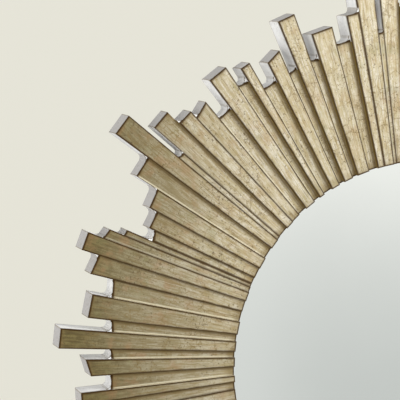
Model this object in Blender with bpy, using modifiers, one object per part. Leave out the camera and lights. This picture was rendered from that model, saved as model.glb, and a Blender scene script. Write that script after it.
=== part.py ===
"""Sunburst wall mirror, built for Blender 4.5.

A round mirror glass sits in a one-piece moulded frame of irregular tapered rays. The rays lie side by side
around the rim, with stepped front faces and uneven reach. The wall is the plane y = 0, the mirror faces -Y
and +Z is up. The origin is at the centre of the backing board's rear face, on the wall. Units are metres.
"""

import math
from collections import namedtuple

import bmesh
import bpy
from mathutils import Vector

# Driving dimensions of the frame
RIM_RADIUS = 0.275
FRAME_DEPTH = 0.037
LONGEST_RUN = 0.276
HEIGHT_HIGH = FRAME_DEPTH
HEIGHT_MID = FRAME_DEPTH - 0.0020
HEIGHT_LOW = FRAME_DEPTH - 0.0035
HEIGHT_BASE = FRAME_DEPTH - 0.0055
CORNER_FILLET = 0.007
FILLET_STEPS = 3
FILLET_SHARE_OF_WIDTH = 0.45
FILLET_ROOM = 1.5 * CORNER_FILLET

# Glass, board and the rebate that takes them
GLASS_THICKNESS = 0.004
BOARD_THICKNESS = 0.006
LIP_WIDTH = 0.010
SEAT_GAP = 0.0003
EDGE_CLEARANCE = 0.0015
ROUND_SIDES = 96
REBATE_RADIUS = RIM_RADIUS + LIP_WIDTH
REBATE_DEPTH = BOARD_THICKNESS + SEAT_GAP + GLASS_THICKNESS + SEAT_GAP
DISC_RADIUS = REBATE_RADIUS - EDGE_CLEARANCE

# Keyhole hanger plates, let into the back of the board
PLATE_LENGTH = 0.060
PLATE_WIDTH = 0.018
PLATE_THICKNESS = 0.0016
PLATE_CENTRE_X = 0.150
PLATE_CENTRE_Z = 0.150
POCKET_CLEARANCE = 0.0004
KEYHOLE_ENTRY = 0.0095
KEYHOLE_SLOT = 0.0050
KEYHOLE_RUN = 0.010
KEYHOLE_OFFSET = 0.25 * KEYHOLE_RUN
KEYHOLE_SIDES = 32
HEAD_POCKET_DEPTH = 0.0044
HEAD_POCKET_WIDTH = 0.0125
HEAD_POCKET_SIDE = 0.003
SCREW_INSET = 0.007
SCREW_SPACING = PLATE_LENGTH - 2 * SCREW_INSET
SCREW_SHANK = 0.0024
SCREW_HEAD = 0.0052
SCREW_HEAD_THICKNESS = 0.0008
SCREW_LENGTH = 0.0048
SCREW_POINT_START = 0.8 * SCREW_LENGTH
SCREW_SIDES = 16
HOLE_CLEARANCE = 0.0003
PLATE_CUT_DEPTH = 4 * PLATE_THICKNESS
MERGE_DISTANCE = 0.00001

# A ray turns through a share of its quarter, in degrees, and stands at one of the four heights. Its run
# outward from the rim is a share of the longest run. The skew, another such share, is how much further
# its end reaches at its second edge than at its first, counter-clockwise.
Ray = namedtuple("Ray", "turn run height skew", defaults=(0.0,))

QUARTER_RAYS = (
    Ray(2.10, 0.786, HEIGHT_HIGH),
    Ray(2.85, 0.659, HEIGHT_BASE),
    Ray(3.75, 0.754, HEIGHT_HIGH),
    Ray(1.65, 0.627, HEIGHT_BASE),
    Ray(2.80, 0.880, HEIGHT_HIGH),
    Ray(1.70, 0.623, HEIGHT_BASE),
    Ray(2.65, 0.750, HEIGHT_HIGH, -0.025),
    Ray(2.70, 0.620, HEIGHT_BASE),
    Ray(1.70, 0.775, HEIGHT_HIGH),
    Ray(1.90, 0.703, HEIGHT_BASE),
    Ray(3.25, 0.826, HEIGHT_HIGH),
    Ray(2.55, 0.645, HEIGHT_BASE),
    Ray(2.85, 0.757, HEIGHT_MID, -0.018),
    Ray(2.60, 0.779, HEIGHT_HIGH),
    Ray(3.05, 0.859, HEIGHT_LOW),
    Ray(1.10, 0.667, HEIGHT_MID),
    Ray(3.10, 1.000, HEIGHT_HIGH),
    Ray(3.30, 0.793, HEIGHT_LOW),
    Ray(3.35, 0.667, HEIGHT_HIGH, -0.007),
    Ray(3.05, 0.612, HEIGHT_MID),
    Ray(1.80, 0.572, HEIGHT_LOW),
    Ray(0.95, 0.710, HEIGHT_LOW),
    Ray(1.55, 0.793, HEIGHT_MID, 0.007),
    Ray(2.75, 0.891, HEIGHT_HIGH),
    Ray(3.10, 0.801, HEIGHT_MID, 0.011),
    Ray(2.95, 0.685, HEIGHT_LOW, -0.007),
    Ray(3.75, 0.779, HEIGHT_HIGH),
    Ray(1.95, 0.649, HEIGHT_LOW),
    Ray(2.95, 0.906, HEIGHT_HIGH),
    Ray(1.70, 0.638, HEIGHT_LOW),
    Ray(2.70, 0.768, HEIGHT_HIGH, -0.029),
    Ray(2.55, 0.634, HEIGHT_LOW),
    Ray(1.90, 0.790, HEIGHT_HIGH),
    Ray(2.10, 0.623, HEIGHT_LOW),
    Ray(3.10, 0.736, HEIGHT_MID),
    Ray(2.20, 0.848, HEIGHT_HIGH),
)

# Each quarter starts the same run of rays at another place, so no two quarters look alike.
QUARTER_SHIFTS = (0, 7, 25, 17)
FIRST_RAY_ANGLE = 101.2
QUARTER_TURN = 90.0

GOLD_LEAF = (0.49, 0.43, 0.30, 1.0)
SILVERED_GLASS = (0.80, 0.82, 0.81, 1.0)
BOARD_BROWN = (0.20, 0.13, 0.08, 1.0)
PLATED_STEEL = (0.62, 0.60, 0.55, 1.0)


def clear_scene():
    """Remove every object, so that the script starts from nothing."""
    for thing in list(bpy.data.objects):
        bpy.data.objects.remove(thing)


def make_collection(name):
    """Return a new collection in the scene."""
    collection = bpy.data.collections.new(name)
    bpy.context.scene.collection.children.link(collection)
    return collection


def make_material(name, colour, roughness, metallic):
    """Return a Principled BSDF material with plain values."""
    material = bpy.data.materials.new(name)
    material.use_nodes = True
    shader = material.node_tree.nodes["Principled BSDF"]
    shader.inputs["Base Color"].default_value = colour
    shader.inputs["Roughness"].default_value = roughness
    shader.inputs["Metallic"].default_value = metallic
    return material


def place(obj, collection):
    """Move an object into one collection."""
    for old in list(obj.users_collection):
        old.objects.unlink(obj)
    collection.objects.link(obj)
    return obj


def mesh_object(name, bm, collection, material=None):
    """Turn a bmesh into an object in a collection."""
    mesh = bpy.data.meshes.new(name)
    bm.to_mesh(mesh)
    bm.free()
    obj = bpy.data.objects.new(name, mesh)
    collection.objects.link(obj)
    if material:
        mesh.materials.append(material)
    return obj


def point(angle, radius, height):
    """Return the point at an angle and a radius about the mirror's axis, a height in front of the wall."""
    return Vector((radius * math.cos(angle), -height, radius * math.sin(angle)))


class RayShape:
    """One ray in its place on the ring, with its outer end as a line of points from edge to edge."""

    def __init__(self, ray, start, end):
        """Keep the ray's own sizes and its two edge angles in radians."""
        self.start = start
        self.end = end
        self.height = ray.height
        self.start_reach = RIM_RADIUS + LONGEST_RUN * ray.run
        self.end_reach = self.start_reach + LONGEST_RUN * ray.skew
        self.outline = []

    def corner_points(self, at_start, filleted):
        """Return the end's points at one edge, from that edge inward, as (angle, radius)."""
        edge = self.start if at_start else self.end
        reach = self.start_reach if at_start else self.end_reach
        if not filleted:
            return [(edge, reach)]
        inward = 1.0 if at_start else -1.0
        width = (self.end - self.start) * reach
        radius = min(CORNER_FILLET, FILLET_SHARE_OF_WIDTH * width)
        points = []
        for step in range(FILLET_STEPS + 1):
            turn = 0.5 * math.pi * step / FILLET_STEPS
            across = radius * (1.0 - math.cos(turn))
            beyond = radius * (1.0 - math.sin(turn))
            points.append((edge + inward * across / reach, reach + beyond))
        return points

    def finish(self, before, after):
        """Work out the end's line of points. A corner is filled where the neighbour runs well past it."""
        fill_start = before.end_reach - self.start_reach > FILLET_ROOM
        fill_end = after.start_reach - self.end_reach > FILLET_ROOM
        first = self.corner_points(True, fill_start)
        last = self.corner_points(False, fill_end)
        self.outline = first + last[::-1]

    @property
    def first_reach(self):
        """Radius of the end's first point, fillet included."""
        return self.outline[0][1]

    @property
    def last_reach(self):
        """Radius of the end's last point, fillet included."""
        return self.outline[-1][1]


def ring_of_rays():
    """Return every ray of the ring in counter-clockwise order."""
    shapes = []
    angle = FIRST_RAY_ANGLE
    for shift in QUARTER_SHIFTS:
        order = QUARTER_RAYS[shift:] + QUARTER_RAYS[:shift]
        total = sum(ray.turn for ray in order)
        for ray in order:
            turn = ray.turn * QUARTER_TURN / total
            shapes.append(RayShape(ray, math.radians(angle), math.radians(angle + turn)))
            angle += turn
    for index, shape in enumerate(shapes):
        shape.finish(shapes[index - 1], shapes[(index + 1) % len(shapes)])
    return shapes


class FrameMesh:
    """Collects the frame's faces on shared points, so that the mesh comes out closed."""

    def __init__(self):
        """Start with no points."""
        self.bm = bmesh.new()
        self.points = {}

    def vertex(self, position):
        """Return the vertex at a position, making it once."""
        key = tuple(round(value, 6) for value in position)
        if key not in self.points:
            self.points[key] = self.bm.verts.new(position)
        return self.points[key]

    def face(self, positions):
        """Add one face, leaving out points that repeat."""
        corners = []
        for position in positions:
            vertex = self.vertex(position)
            if vertex not in corners:
                corners.append(vertex)
        if len(corners) > 2:
            self.bm.faces.new(corners)


def radial_wall(mesh, angle, first, second):
    """Close the step between two neighbouring rays, on the plane that they share.

    First and second are each ray's reach and height on that plane. The taller ray shows above the lower
    one, and the longer one shows beyond the shorter one.
    """
    (reach_a, height_a), (reach_b, height_b) = first, second
    longer = first if reach_a > reach_b else second
    near, far = min(reach_a, reach_b), max(reach_a, reach_b)
    low, high = min(height_a, height_b), max(height_a, height_b)
    rim = RIM_RADIUS
    beyond = [(near, 0.0), (far, 0.0), (far, longer[1]), (near, longer[1])]
    above = [(rim, low), (near, low), (near, high), (rim, high)]
    if near < far and low < high and longer[1] == high:
        loops = [[(rim, low), (near, low), (near, 0.0), (far, 0.0), (far, high), (rim, high)]]
    else:
        loops = [beyond] if near < far else []
        loops += [above] if low < high else []
    for loop in loops:
        mesh.face([point(angle, radius, height) for radius, height in loop])


def build_frame(collection, material):
    """Model the moulded frame as one closed body with a rebate behind its rim."""
    mesh = FrameMesh()
    shapes = ring_of_rays()
    lip = REBATE_DEPTH
    for index, shape in enumerate(shapes):
        before = shapes[index - 1]
        after = shapes[(index + 1) % len(shapes)]
        radial_wall(
            mesh,
            shape.start,
            (before.last_reach, before.height),
            (shape.first_reach, shape.height),
        )
        top = shape.height
        end_line = list(shape.outline)
        start_extra = crossing_reaches(shape.first_reach, before.last_reach, top, before.height)
        last_extra = crossing_reaches(shape.last_reach, after.first_reach, top, after.height)
        front = [point(shape.start, RIM_RADIUS, top)]
        front += [point(shape.start, reach, top) for reach in start_extra]
        front += [point(angle, radius, top) for angle, radius in end_line]
        front += [point(shape.end, reach, top) for reach in last_extra]
        front.append(point(shape.end, RIM_RADIUS, top))
        mesh.face(front)
        back = [point(shape.start, REBATE_RADIUS, 0.0)]
        if before.last_reach < shape.first_reach:
            back.append(point(shape.start, before.last_reach, 0.0))
        back += [point(angle, radius, 0.0) for angle, radius in end_line]
        if after.first_reach < shape.last_reach:
            back.append(point(shape.end, after.first_reach, 0.0))
        back.append(point(shape.end, REBATE_RADIUS, 0.0))
        mesh.face(back[::-1])
        build_end(mesh, shape, before, after)
        build_rim(mesh, shape, before, after, lip)
    bmesh.ops.recalc_face_normals(mesh.bm, faces=mesh.bm.faces)
    bmesh.ops.triangulate(mesh.bm, faces=mesh.bm.faces)
    return mesh_object("frame", mesh.bm, collection, material)


def crossing_reaches(own_reach, other_reach, own_height, other_height):
    """Return where a taller, shorter neighbour's end meets this ray's front edge."""
    if other_height >= own_height and other_reach < own_reach:
        return [other_reach]
    return []


def build_end(mesh, shape, before, after):
    """Wall the outer end from the back to the front face."""
    top = shape.height
    line = shape.outline
    for index in range(len(line) - 1):
        (angle_a, reach_a), (angle_b, reach_b) = line[index], line[index + 1]
        loop = [point(angle_a, reach_a, 0.0), point(angle_b, reach_b, 0.0)]
        if index == len(line) - 2 and after.height < top and after.first_reach > reach_b:
            loop.append(point(angle_b, reach_b, after.height))
        loop += [point(angle_b, reach_b, top), point(angle_a, reach_a, top)]
        if index == 0 and before.height < top and before.last_reach > reach_a:
            loop.append(point(angle_a, reach_a, before.height))
        mesh.face(loop)


def build_rim(mesh, shape, before, after, lip):
    """Close the ray's inner end: the rim's wall, the lip over the glass and the rebate behind it."""
    top = shape.height
    wall = [point(shape.start, RIM_RADIUS, lip)]
    if before.height < top:
        wall.append(point(shape.start, RIM_RADIUS, before.height))
    wall += [point(shape.start, RIM_RADIUS, top), point(shape.end, RIM_RADIUS, top)]
    if after.height < top:
        wall.append(point(shape.end, RIM_RADIUS, after.height))
    wall.append(point(shape.end, RIM_RADIUS, lip))
    mesh.face(wall)
    mesh.face([
        point(shape.start, RIM_RADIUS, lip),
        point(shape.end, RIM_RADIUS, lip),
        point(shape.end, REBATE_RADIUS, lip),
        point(shape.start, REBATE_RADIUS, lip),
    ])
    mesh.face([
        point(shape.start, REBATE_RADIUS, lip),
        point(shape.end, REBATE_RADIUS, lip),
        point(shape.end, REBATE_RADIUS, 0.0),
        point(shape.start, REBATE_RADIUS, 0.0),
    ])


def add_cylinder(name, radius, depth, front, centre, sides, collection, material=None):
    """Add a round disc or pin along Y, with its front face at y = front and its back towards the wall."""
    bpy.ops.mesh.primitive_cylinder_add(
        vertices=sides,
        radius=radius,
        depth=depth,
        location=(centre[0], front + 0.5 * depth, centre[1]),
        rotation=(0.5 * math.pi, 0.0, 0.0),
    )
    obj = bpy.context.object
    obj.name = name
    if material:
        obj.data.materials.append(material)
    return place(obj, collection)


def add_box(name, size, front, centre, collection, material=None):
    """Add a box of width, depth and height, with its front face at y = front."""
    bpy.ops.mesh.primitive_cube_add(size=1.0, location=(centre[0], front + 0.5 * size[1], centre[1]))
    obj = bpy.context.object
    obj.name = name
    obj.scale = size
    bpy.ops.object.transform_apply(location=False, rotation=False, scale=True)
    if material:
        obj.data.materials.append(material)
    return place(obj, collection)


def cut(obj, cutter):
    """Cut one object out of another with an exact Boolean."""
    cutter.hide_render = True
    cutter.display_type = "WIRE"
    modifier = obj.modifiers.new("cut " + cutter.name, "BOOLEAN")
    modifier.operation = "DIFFERENCE"
    modifier.solver = "EXACT"
    modifier.object = cutter


def build_glass(collection, material):
    """Model the round mirror glass, held behind the frame's lip."""
    front = -(BOARD_THICKNESS + SEAT_GAP + GLASS_THICKNESS)
    return add_cylinder(
        "mirror_glass", DISC_RADIUS, GLASS_THICKNESS, front, (0.0, 0.0), ROUND_SIDES, collection, material
    )


def build_board(collection, cutters, material):
    """Model the backing board, with a pocket for each hanger plate and room for a wall screw's head."""
    board = add_cylinder(
        "backing_board", DISC_RADIUS, BOARD_THICKNESS, -BOARD_THICKNESS, (0.0, 0.0), ROUND_SIDES,
        collection, material,
    )
    seat_depth = PLATE_THICKNESS + SEAT_GAP
    for side in (-1, 1):
        centre = (side * PLATE_CENTRE_X, PLATE_CENTRE_Z)
        label = side_name(side)
        seat = add_box(
            "plate_seat_" + label,
            (PLATE_LENGTH + 2 * POCKET_CLEARANCE, 2 * seat_depth, PLATE_WIDTH + 2 * POCKET_CLEARANCE),
            -seat_depth,
            centre,
            cutters,
        )
        head_size = (HEAD_POCKET_WIDTH + HEAD_POCKET_SIDE, 2 * HEAD_POCKET_DEPTH, HEAD_POCKET_WIDTH)
        head = add_box("head_pocket_" + label, head_size, -HEAD_POCKET_DEPTH, centre, cutters)
        cut(board, seat)
        cut(board, head)
        for end in (-1, 1):
            hole = add_cylinder(
                "screw_hole_%s_%s" % (label, side_name(end)),
                0.5 * SCREW_SHANK + HOLE_CLEARANCE,
                2 * SCREW_LENGTH,
                -(SCREW_LENGTH + SEAT_GAP),
                (centre[0] + 0.5 * end * SCREW_SPACING, centre[1]),
                SCREW_SIDES,
                cutters,
            )
            cut(board, hole)
    return board


def side_name(side):
    """Name a side as seen from in front of the mirror."""
    return "left" if side < 0 else "right"


def build_plate(side, collection, cutters, material):
    """Model one keyhole hanger plate, flush with the back of the board."""
    label = side_name(side)
    centre = (side * PLATE_CENTRE_X, PLATE_CENTRE_Z)
    plate = add_box(
        "hanger_plate_" + label,
        (PLATE_LENGTH, PLATE_THICKNESS, PLATE_WIDTH),
        -PLATE_THICKNESS,
        centre,
        collection,
        material,
    )
    entry = add_cylinder(
        "keyhole_entry_" + label,
        0.5 * KEYHOLE_ENTRY,
        PLATE_CUT_DEPTH,
        -0.5 * PLATE_CUT_DEPTH,
        (centre[0], centre[1] - KEYHOLE_OFFSET),
        KEYHOLE_SIDES,
        cutters,
    )
    slot = add_box(
        "keyhole_slot_" + label,
        (KEYHOLE_SLOT, PLATE_CUT_DEPTH, KEYHOLE_RUN),
        -0.5 * PLATE_CUT_DEPTH,
        (centre[0], centre[1] + KEYHOLE_OFFSET),
        cutters,
    )
    cut(plate, entry)
    cut(plate, slot)
    for end in (-1, 1):
        x = centre[0] + 0.5 * end * SCREW_SPACING
        hole_name = "plate_hole_%s_%s" % (label, side_name(end))
        head_seat = add_cylinder(
            hole_name + "_head",
            0.5 * SCREW_HEAD + HOLE_CLEARANCE,
            PLATE_CUT_DEPTH,
            -(SCREW_HEAD_THICKNESS + SEAT_GAP),
            (x, centre[1]),
            SCREW_SIDES,
            cutters,
        )
        shank_hole = add_cylinder(
            hole_name,
            0.5 * SCREW_SHANK + HOLE_CLEARANCE,
            PLATE_CUT_DEPTH,
            -0.5 * PLATE_CUT_DEPTH,
            (x, centre[1]),
            SCREW_SIDES,
            cutters,
        )
        cut(plate, head_seat)
        cut(plate, shank_hole)
    return plate


def build_screw(name, x, z, collection, material):
    """Model one flat-headed screw as a turned profile, its head flush with the back of the plate."""
    head = 0.5 * SCREW_HEAD
    shank = 0.5 * SCREW_SHANK
    profile = [
        (0.0, 0.0),
        (head, 0.0),
        (head, -SCREW_HEAD_THICKNESS),
        (shank, -SCREW_HEAD_THICKNESS),
        (shank, -SCREW_POINT_START),
        (0.0, -SCREW_LENGTH),
    ]
    bm = bmesh.new()
    verts = [bm.verts.new((radius, 0.0, along)) for radius, along in profile]
    for start, end in zip(verts, verts[1:]):
        bm.edges.new((start, end))
    obj = mesh_object(name, bm, collection, material)
    turn = obj.modifiers.new("turned", "SCREW")
    turn.axis = "Z"
    turn.angle = 2 * math.pi
    turn.steps = SCREW_SIDES
    turn.render_steps = SCREW_SIDES
    turn.use_merge_vertices = True
    turn.merge_threshold = MERGE_DISTANCE
    turn.use_smooth_shade = False
    obj.rotation_euler = (-0.5 * math.pi, 0.0, 0.0)
    obj.location = (x, 0.0, z)
    return obj


def main():
    """Build every piece of the mirror."""
    clear_scene()
    pieces = make_collection("wall_mirror")
    cutters = make_collection("cutters")
    gold = make_material("gold_leaf", GOLD_LEAF, 0.45, 0.5)
    silver = make_material("silvered_glass", SILVERED_GLASS, 0.03, 1.0)
    brown = make_material("board_brown", BOARD_BROWN, 0.8, 0.0)
    steel = make_material("plated_steel", PLATED_STEEL, 0.35, 1.0)
    build_frame(pieces, gold)
    build_glass(pieces, silver)
    build_board(pieces, cutters, brown)
    for side in (-1, 1):
        build_plate(side, pieces, cutters, steel)
        for end in (-1, 1):
            name = "hanger_screw_%s_%s" % (side_name(side), "outer" if side == end else "inner")
            x = side * PLATE_CENTRE_X + 0.5 * end * SCREW_SPACING
            build_screw(name, x, PLATE_CENTRE_Z, pieces, steel)


main()
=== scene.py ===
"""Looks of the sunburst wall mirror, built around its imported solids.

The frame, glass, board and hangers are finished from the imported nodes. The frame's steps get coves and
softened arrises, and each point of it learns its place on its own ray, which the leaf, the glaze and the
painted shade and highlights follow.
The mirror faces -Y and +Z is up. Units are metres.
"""

import logging
import math
import random
from contextlib import contextmanager
from dataclasses import dataclass, field
from enum import Enum
from functools import cached_property
from typing import Callable, Iterator, Sequence

import bmesh
import bpy
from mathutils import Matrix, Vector


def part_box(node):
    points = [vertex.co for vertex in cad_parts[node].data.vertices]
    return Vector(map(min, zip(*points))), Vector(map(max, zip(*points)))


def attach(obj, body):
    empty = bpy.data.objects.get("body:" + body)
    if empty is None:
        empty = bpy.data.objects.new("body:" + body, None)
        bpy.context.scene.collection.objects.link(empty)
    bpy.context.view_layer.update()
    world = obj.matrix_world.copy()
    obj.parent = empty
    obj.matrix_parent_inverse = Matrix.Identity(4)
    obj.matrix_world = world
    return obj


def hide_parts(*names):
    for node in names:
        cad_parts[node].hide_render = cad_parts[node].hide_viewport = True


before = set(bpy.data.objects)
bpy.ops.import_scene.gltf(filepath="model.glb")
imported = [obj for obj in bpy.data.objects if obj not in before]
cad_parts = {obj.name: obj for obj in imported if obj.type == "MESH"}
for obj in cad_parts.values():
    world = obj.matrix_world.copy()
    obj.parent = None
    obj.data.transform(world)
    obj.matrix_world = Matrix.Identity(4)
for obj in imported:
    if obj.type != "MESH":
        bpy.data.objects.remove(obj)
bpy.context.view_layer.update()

LOG = logging.getLogger("sunburst_mirror")
BODY = "root"
MERGE_DISTANCE = 0.00001
FLAT_ANGLE = math.radians(1.0)
SHARP_ANGLE = math.radians(60.0)
FULL_TURN = 2.0 * math.pi
Colour = tuple[float, float, float, float]
Triple = tuple[float, float, float]
Piece = bpy.types.Object
Mesh = bpy.types.Mesh
Face = bpy.types.MeshPolygon
Edge = bmesh.types.BMEdge
Material = bpy.types.Material
NodeTree = bpy.types.NodeTree
Node = bpy.types.Node
Socket = bpy.types.NodeSocket


class Layer(Enum):
    """Names of the layers that carry a point's place on its ray to the leaf and glaze."""

    EDGES = "ray_edges"
    RUN = "ray_run"
    SIDE = "side_place"
    MARKS = "ray_marks"
    KINDS = "ray_kinds"
    FREE = "free_corners"


class Surface(Enum):
    """The kinds of surface on the frame, as (side, outer end, rim wall) flags."""

    FRONT = (0.0, 0.0, 0.0)
    STEP_WALL = (1.0, 0.0, 0.0)
    OUTER_END = (1.0, 1.0, 0.0)
    RIM_WALL = (1.0, 0.0, 1.0)


def shade(red: int, green: int, blue: int) -> Colour:
    """Turn a colour given as 0 to 255 into the linear values that shaders take.

    Args:
        red: Red as displayed.
        green: Green as displayed.
        blue: Blue as displayed.

    Returns:
        The linear colour with an alpha of one.
    """
    linear = []
    for value in (red, green, blue):
        share = value / 255.0
        linear.append(share / 12.92 if share <= 0.04045 else ((share + 0.055) / 1.055) ** 2.4)
    return (linear[0], linear[1], linear[2], 1.0)


def deselect_all() -> None:
    """Leave edit mode if it is on, and deselect every object."""
    if bpy.context.object and bpy.context.object.mode != "OBJECT":
        bpy.ops.object.mode_set(mode="OBJECT")
    bpy.ops.object.select_all(action="DESELECT")


def make_active(piece: Piece) -> None:
    """Select one object alone and make it the active one."""
    deselect_all()
    piece.select_set(True)
    bpy.context.view_layer.objects.active = piece


@contextmanager
def edit_mode(piece: Piece) -> Iterator[None]:
    """Hold one object in edit mode while a with block runs."""
    make_active(piece)
    bpy.ops.object.mode_set(mode="EDIT")
    yield
    bpy.ops.object.mode_set(mode="OBJECT")


def apply_modifier(piece: Piece, kind: str, **settings: object) -> None:
    """Add a modifier to a piece with its settings, and apply it.

    Args:
        piece: The piece to change.
        kind: The modifier's type.
        settings: Values for the modifier's own properties.
    """
    make_active(piece)
    modifier = piece.modifiers.new(kind.lower(), kind)
    for name, value in settings.items():
        setattr(modifier, name, value)
    bpy.ops.object.modifier_apply(modifier=modifier.name)


def merged_copy(node: str, name: str, join_flats: bool = False) -> Piece:
    """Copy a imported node's mesh into a new piece and merge its loose triangles.

    Args:
        node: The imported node.
        name: The new piece's name.
        join_flats: Join the triangles of each flat face too.

    Returns:
        The new piece, at the origin.
    """
    piece = bpy.data.objects.new(name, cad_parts[node].data.copy())
    bpy.context.scene.collection.objects.link(piece)
    piece.data.materials.clear()
    with edit_mode(piece):
        bpy.ops.mesh.select_all(action="SELECT")
        bpy.ops.mesh.remove_doubles(threshold=MERGE_DISTANCE)
        bpy.ops.mesh.customdata_custom_splitnormals_clear()
    if join_flats:
        apply_modifier(piece, "DECIMATE", decimate_type="DISSOLVE", angle_limit=FLAT_ANGLE)
    return piece


def merge_close(piece: Piece, distance: float) -> None:
    """Merge the vertices of a piece that lie within a distance of each other."""
    with edit_mode(piece):
        bpy.ops.mesh.select_all(action="SELECT")
        bpy.ops.mesh.remove_doubles(threshold=distance)
        bpy.ops.mesh.dissolve_degenerate(threshold=distance)


def is_sharp(edge: Edge) -> bool:
    """Say whether the two faces beside an edge meet at a sharp angle."""
    return edge.calc_face_angle(0.0) > SHARP_ANGLE


def bevel_edges(
    piece: Piece,
    wanted: Callable[[Edge], bool],
    offset: float,
    segments: int,
    clamp: bool = True,
) -> int:
    """Bevel the edges of a piece that pass a test.

    Args:
        piece: The piece to change.
        wanted: Says of each edge whether it is bevelled.
        offset: The bevel's width on each face.
        segments: How many steps round the bevel.
        clamp: Keep every bevel as narrow as the shortest edge beside one allows.

    Returns:
        The number of edges that were bevelled.
    """
    with edit_mode(piece):
        bpy.ops.mesh.select_mode(type="EDGE")
        bpy.ops.mesh.select_all(action="DESELECT")
        bm = bmesh.from_edit_mesh(piece.data)
        chosen = [edge for edge in bm.edges if len(edge.link_faces) == 2 and wanted(edge)]
        for edge in chosen:
            edge.select_set(True)
        bmesh.update_edit_mesh(piece.data)
        if chosen:
            bpy.ops.mesh.bevel(
                offset=offset, offset_type="OFFSET", segments=segments, affect="EDGES", clamp_overlap=clamp
            )
    return len(chosen)


def soften(piece: Piece, angle: float = 50.0) -> None:
    """Shade a piece smooth below an angle in degrees, with its large flat faces kept flat."""
    make_active(piece)
    bpy.ops.object.shade_smooth_by_angle(angle=math.radians(angle))
    apply_modifier(piece, "WEIGHTED_NORMAL", keep_sharp=True)


def hand_in(piece: Piece, finishes: Sequence[Material], slot: str, *nodes: str) -> Piece:
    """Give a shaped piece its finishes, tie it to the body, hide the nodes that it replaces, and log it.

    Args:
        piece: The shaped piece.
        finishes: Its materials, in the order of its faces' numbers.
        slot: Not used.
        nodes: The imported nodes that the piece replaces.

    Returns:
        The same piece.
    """
    for finish in finishes:
        piece.data.materials.append(finish)
    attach(piece, BODY)
    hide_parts(*nodes)
    LOG.info("%s: %d faces, for %s", piece.name, len(piece.data.polygons), ", ".join(nodes))
    return piece


@dataclass(frozen=True)
class Mottle:
    """A noise mask: the noise's own values, the levels that the mask rises between, and its strength."""

    scale: float
    detail: float
    roughness: float
    low: float
    high: float
    share: float = 1.0


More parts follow.
